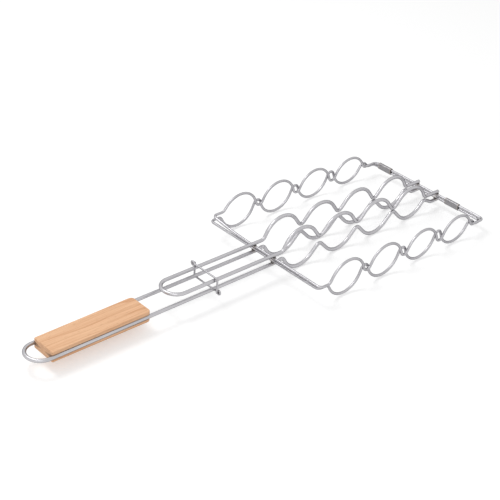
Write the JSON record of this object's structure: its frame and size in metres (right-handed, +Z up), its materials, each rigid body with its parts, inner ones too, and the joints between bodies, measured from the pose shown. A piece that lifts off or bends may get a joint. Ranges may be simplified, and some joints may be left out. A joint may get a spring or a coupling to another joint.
{
  "type": "grill basket",
  "caption": "Long-handled wire grill basket whose two hinged halves clamp ears of corn side by side, with a sliding wire latch and a flat wooden grip.",
  "frame": {"origin": "on the resting surface, under the middle of the overall length and on the centre line", "axes": "+X from the hanging loop towards the hinge, +Y to the left seen from the grip, +Z up"},
  "size_m": [0.5734, 0.1764, 0.0511],
  "materials": {
    "beech_wood": "light beech, sanded and unvarnished",
    "rod_chrome": "plated steel rod, slightly dull",
    "frame_chrome": "plated steel wire, slightly dull",
    "sleeve_steel": "rolled sheet steel",
    "latch_wire": "drawn steel wire"
  },
  "bodies": {
    "lower_half": {"wooden_grip": "beech_wood", "handle_loop": "rod_chrome", "handle_left_leg": "rod_chrome", "handle_right_leg": "rod_chrome", "bottom_front_crossbar": "frame_chrome", "bottom_left_inner_wave": "rod_chrome", "bottom_right_inner_wave": "rod_chrome", "bottom_left_outer_wave": "frame_chrome", "bottom_right_outer_wave": "frame_chrome", "bottom_hinge_bar": "frame_chrome", "hinge_sleeve_left": "sleeve_steel", "hinge_sleeve_right": "sleeve_steel"},
    "lid": {"lid_loop": "rod_chrome", "lid_left_leg": "rod_chrome", "lid_right_leg": "rod_chrome", "lid_front_crossbar": "frame_chrome", "lid_left_inner_wave": "rod_chrome", "lid_right_inner_wave": "rod_chrome", "lid_left_outer_wave": "frame_chrome", "lid_right_outer_wave": "frame_chrome", "lid_hinge_bar": "frame_chrome"},
    "latch_ring": {"latch_wire_upper": "latch_wire", "latch_wire_lower": "latch_wire"}
  },
  "joints": [
    {"name": "lid_hinge", "type": "hinge", "parent": "lower_half", "child": "lid", "pos_m": [0.2837, 0, 0.0174], "axis": [0, 1, 0], "range_deg": [0, 84]},
    {"name": "latch_slide", "type": "slide", "parent": "lower_half", "child": "latch_ring", "axis": [-1, 0, 0], "range_m": [-0.06, 0.07]}
  ]
}
